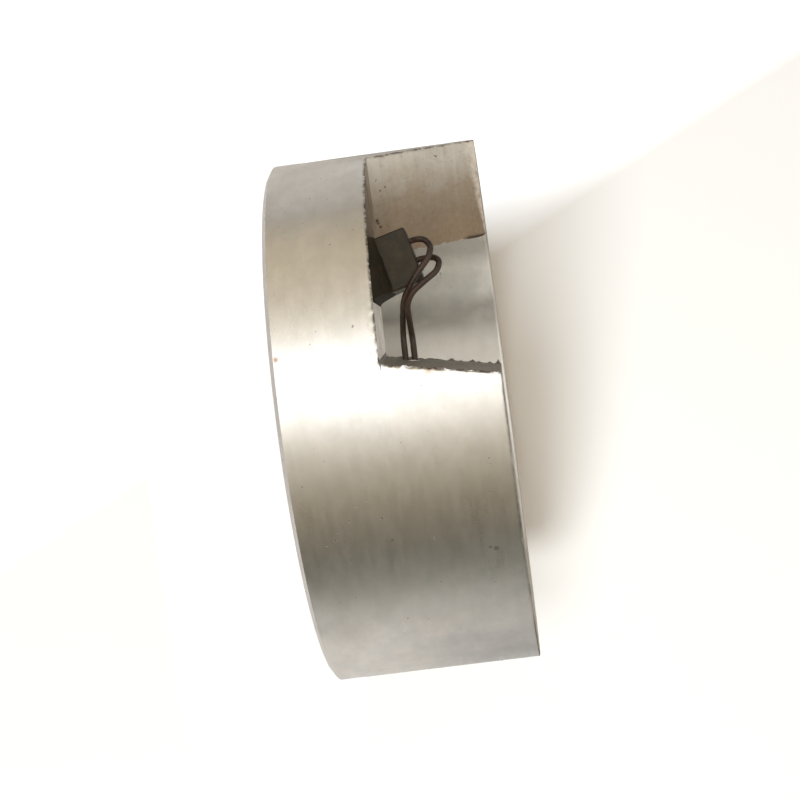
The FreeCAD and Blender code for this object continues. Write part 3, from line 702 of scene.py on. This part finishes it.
# Its height at a place is the least of a ramp that follows the leaning block, a slope down to the ring's rim,
# a hollow curve down to the toe, and short steps at the heel and the back; lumps are added to the whole
def makeBed():
    b = bedValues
    across = np.linspace(0, 1, b["columns"])
    across = across + 0.12 * np.sin(2 * np.pi * across) / (2 * np.pi)
    x = b["heel"] + (b["toe"] - b["heel"]) * across[None]
    front = -np.sqrt(b["rim"] ** 2 - x ** 2)
    share = np.linspace(0, 1, b["rows"])[:, None]
    y = front + (b["back"] - front) * share
    x = np.broadcast_to(x, y.shape)
    (startX, startHeight), (endX, endHeight) = b["rampStart"], b["rampEnd"]
    ramp = startHeight + (x - startX) * (endHeight - startHeight) / (endX - startX)
    toRim = np.clip(b["rim"] - np.hypot(x, y), 0, None) / b["rimSlope"]
    toToe = endHeight * (np.clip(b["toe"] - x, 0, None) / b["toeReach"]) ** b["toeCurve"]
    (heelHeight, heelWidth), (backHeight, backWidth) = b["heelStep"], b["backStep"]
    toHeel = heelHeight * np.sqrt(np.clip(x - b["heel"], 0, None) / heelWidth)
    toBack = backHeight * np.sqrt(np.clip(b["back"] - y, 0, None) / backWidth)
    caps = np.stack([ramp, toRim, toToe, toHeel, toBack])
    power = b["blendPower"]
    height = (np.maximum(caps, 1e-6) ** -power).sum(0) ** (-1 / power)
    points = np.stack([x, y, height], -1).reshape(-1, 3)
    lumps = waves(points, b["lumpWaves"]).reshape(height.shape)
    height = height * (1 + b["lumps"] * lumps * np.clip(1.4 - height / 5.0, 0.2, 1))
    # the block's own space stays free
    lean = np.radians(b["blockLean"])
    awayX = x - b["block"][0]
    localX = awayX * np.cos(lean) + height * np.sin(lean)
    depth = np.minimum(np.minimum(localX, b["blockWidth"] - localX),
                       np.minimum(y - b["block"][1], b["block"][1] + b["blockDepth"] - y))
    under = np.clip(awayX * np.tan(lean) - 0.03, 0.02, None)
    height = height + (np.minimum(under, height) - height) * np.clip(depth / 0.25, 0, 1)
    height[0], height[-1], height[:, 0], height[:, -1] = 0, 0, 0, 0
    top = np.stack([x, y, b["floor"] + height], -1)
    under = np.stack([x, y, np.full_like(height, b["floor"])], -1)[:, ::-1]
    points = np.concatenate([top.reshape(-1, 3), under.reshape(-1, 3)])
    quads = lattice(b["columns"], b["rows"])
    quads = np.concatenate([quads, quads + top[..., 0].size])
    points, quads = welded(points, quads, b["weld"])
    bed = newObject("beddingCompound", (points * mm).tolist(), quads.tolist(), [finishes["sealingCompound"]])
    bed.data.polygons.foreach_set("use_smooth", np.ones(len(quads), bool))
    bed.data.validate()
    bed.data.update()
    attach(bed, "root")
    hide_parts("sealing_bed")
    print("bed made:", len(points), "points, open edges", openEdges(quads))


makeBed()


# Studio: pale floor, the surface behind, lamps and a ring of reflecting cards
studioValues = {
    "floorRadius": 0.26, "floorHeight": -0.0003, "backdropPlace": 0.0812, "cardRadius": 1.3,
    "floorLight": (0.70, 0.69, 0.68), "tableLight": (0.13, 0.07, 0.0),
    # painted light: the table glows white for the camera from the first x to the second, both measured on a line
    # that leans with z, so its shadow ends there
    "tableShown": (0.86, 0.90, 0.92), "tableFade": (-0.020, -0.048), "tableLean": 0.476,
    "cardWarmth": (0.0, 0.13, 0.50), "cardPink": 0.08, "cardStrength": 2.2,
    # light of the cards at an angle round the axis, counted from -Y towards +X, and how warm it is
    "cards": ((-180, 0.95, 0), (-140, 0.9, 0), (-122, 0.84, 0), (-110, 0.43, 0.2), (-100, 0.33, 0.45),
              (-80, 0.66, 0.7), (-62, 0.67, 0.7), (-48, 0.78, 0.55), (-37, 1.1, 0.4), (-27, 1.8, 0.1),
              (-10, 2.2, 0), (0, 1.5, 0.2), (8, 0.95, 0.4), (17, 0.62, 0.5), (27, 0.47, 0.7), (38, 0.29, 0.8),
              (50, 0.20, 0.7), (62, 0.175, 0.5), (74, 0.25, 0.35), (86, 0.50, 0.25), (97, 0.81, 0.05),
              (115, 0.89, 0), (140, 0.95, 0), (180, 0.95, 0)),
    "sky": (0.30, 0.30, 0.31),
    # lamps by place, aim, size, watts, colour and kind; the narrow spot lights the notch
    "lamps": {
        "keyLamp": ((0.52, -1.00, -0.13), (0.0, 0.0, 0.03), 0.28, 7.6, (1.0, 0.985, 0.97), "AREA"),
        "fillLamp": ((0.12, -1.00, -0.03), (0.0, 0.0, 0.03), 0.28, 3.4, (1.0, 0.985, 0.97), "AREA"),
        "topLamp": ((-0.25, -0.45, 1.1), (0.0, 0.0, 0.03), 0.9, 1.5, (1.0, 0.99, 0.97), "AREA"),
        "notchLamp": ((-0.33, -1.00, 0.17), (-0.012, 0.05, 0.046), 0.06, 45.0, (1.0, 0.96, 0.89), "SPOT"),
    },
    "spotAngle": 6.0,
}


def flatPanel(name, corners, material):
    panel = newObject(name, corners, [tuple(range(len(corners)))], [material])
    return panel


# Pale to the camera and in reflections, with the object's shadow on it. The camera sees a paler surface
# than the light does, so that it is white beside the shadow without more light on the object.
def paleStage(name, ownLight, diffuse, shown, mirrored, oneSided=False, fadeAt=None, fadeAcross=None):
    material, tree, output = newMaterial(name)
    path = node(tree, "LightPath")
    seen = mathNode(tree, "MAXIMUM", path.outputs["Is Camera Ray"], mathNode(
        tree, "MAXIMUM", times(tree, path.outputs["Is Glossy Ray"], mirrored),
        path.outputs["Is Transmission Ray"]))
    matte = node(tree, "BsdfDiffuse")
    link(tree, mixColor(tree, path.outputs["Is Camera Ray"], diffuse, shown), matte.inputs["Color"])
    glow = node(tree, "Emission")
    glow.inputs["Color"].default_value = (*ownLight, 1.0)
    if fadeAt:   # a table's edge isn't seen against the white behind it
        length = node(tree, "VectorMath", operation="LENGTH")
        link(tree, objectPoint(tree), length.inputs[0])
        seen = times(tree, seen, spread(tree, length.outputs["Value"], fadeAt * 0.5, fadeAt, 1.0, 1.6))
    # painted light: above a leaning line the table glows white for the camera, so the ring's shadow ends there
    if fadeAcross:
        x, _, z = coordinates(tree, objectPoint(tree))
        leaning = times(tree, z, studioValues["tableLean"])
        white = times(tree, path.outputs["Is Camera Ray"],
                         spread(tree, mathNode(tree, "ADD", x, leaning), *fadeAcross, 0.0, 1.0))
        link(tree, mixColor(tree, white, ownLight, (1.0, 1.0, 1.0)), glow.inputs["Color"])
    link(tree, seen, glow.inputs["Strength"])
    both = node(tree, "AddShader")
    link(tree, matte.outputs[0], both.inputs[0])
    link(tree, glow.outputs[0], both.inputs[1])
    result = both.outputs[0]
    if oneSided:
        clear = node(tree, "BsdfTransparent")
        choice = node(tree, "MixShader")
        link(tree, node(tree, "NewGeometry").outputs["Backfacing"], choice.inputs[0])
        link(tree, result, choice.inputs[1])
        link(tree, clear.outputs[0], choice.inputs[2])
        result = choice.outputs[0]
    link(tree, result, output.inputs[0])
    return material


def makeStudio():
    s = studioValues
    around = np.radians(np.arange(0, 360, 5))
    radius, level = s["floorRadius"], np.full(len(around), s["floorHeight"])
    rim = np.stack([radius * np.cos(around), radius * np.sin(around), level], -1)
    floor = flatPanel("floor", rim.tolist(), paleStage("paleFloor", s["floorLight"], (0.45, 0.45, 0.45),
                                                       (1.1, 1.1, 1.1), 0.3, fadeAt=s["floorRadius"]))
    floor.visible_shadow = floor.visible_glossy = False
    y = s["backdropPlace"]
    back = flatPanel("tableBehind", [(-3, y, -2), (3, y, -2), (3, y, 3), (-3, y, 3)],
                     paleStage("paleTable", s["tableLight"], (0.62, 0.62, 0.62), s["tableShown"], 0.5, True,
                               fadeAcross=s["tableFade"]))
    back.visible_shadow = False

    # the reflecting cards stand round the object and only metal sees them
    count, radius = 180, s["cardRadius"]
    angles = np.radians(np.linspace(-180, 180, count + 1))
    low = np.stack([radius * np.sin(angles), -radius * np.cos(angles), np.full(count + 1, -1.2)], -1)
    high = low + np.array([0, 0, 2.6])
    grid = np.concatenate([low, high])
    quads = [(i, i + 1, i + 1 + count + 1, i + count + 1) for i in range(count)]
    material, tree, output = newMaterial("studioCards")
    x, y, _ = coordinates(tree, objectPoint(tree))
    angle = mathNode(tree, "ARCTAN2", x, times(tree, y, -1.0))
    share = spread(tree, angle, -math.pi, math.pi)
    stops = []
    for place, level, warm in s["cards"]:
        pink = s["cardPink"] if -110 < place < 55 else 0.0
        red, green, blue = (level / s["cardStrength"] * (1 - warm * part) for part in s["cardWarmth"])
        stops.append(((place + 180) / 360, (red, green * (1 - pink * warm), blue)))
    glow = node(tree, "Emission")
    link(tree, ramp(tree, share, stops), glow.inputs["Color"])
    glow.inputs["Strength"].default_value = s["cardStrength"]
    link(tree, glow.outputs[0], output.inputs[0])
    cards = newObject("studioCards", grid.tolist(), quads, [material])
    for way in ("camera", "diffuse", "shadow", "transmission", "volume_scatter"):
        setattr(cards, "visible_" + way, False)

    world = bpy.data.worlds.new("paleStudio")
    scene.world = world
    world.use_nodes = True
    tree = world.node_tree
    tree.nodes.clear()
    output = tree.nodes.new("ShaderNodeOutputWorld")
    path = node(tree, "LightPath")
    seen = mathNode(tree, "MAXIMUM", path.outputs["Is Camera Ray"], mathNode(
        tree, "MAXIMUM", path.outputs["Is Glossy Ray"], path.outputs["Is Transmission Ray"]))
    background = node(tree, "Background")
    link(tree, mixColor(tree, seen, s["sky"], (1.0, 1.0, 1.0)), background.inputs["Color"])
    link(tree, background.outputs[0], output.inputs[0])

    def lamp(name, place, aim, size, watts, color, kind):
        data = bpy.data.lights.new(name, kind)
        data.energy, data.color = watts, color
        if kind == "AREA":
            data.shape, data.size = "DISK", size
        else:
            data.shadow_soft_size = size
        made = bpy.data.objects.new(name, data)
        scene.collection.objects.link(made)
        way = np.array(aim) - np.array(place)
        back = -way / np.linalg.norm(way)
        side = np.cross((0.0, 0.0, 1.0) if abs(back[2]) < 0.9 else (0.0, 1.0, 0.0), back)
        side /= np.linalg.norm(side)
        up = np.cross(back, side)
        turn = Matrix([side.tolist(), up.tolist(), back.tolist()]).transposed().to_4x4()
        made.matrix_world = Matrix.Translation(place) @ turn
        made.visible_glossy = False
        return made

    lamps = {name: lamp(name, *values) for name, values in s["lamps"].items()}
    notchLamp = lamps["notchLamp"]
    notchLamp.data.spot_size, notchLamp.data.spot_blend = math.radians(s["spotAngle"]), 1.0
    pale = bpy.data.collections.new("paleSurfaces")   # the lamp leaves the shadow behind the ring alone
    pale.objects.link(floor)
    pale.objects.link(back)
    notchLamp.light_linking.receiver_collection = pale
    for entry in pale.collection_objects:
        entry.light_linking.link_state = "EXCLUDE"
    print("studio set")


makeStudio()
scene.view_settings.view_transform = "Standard"
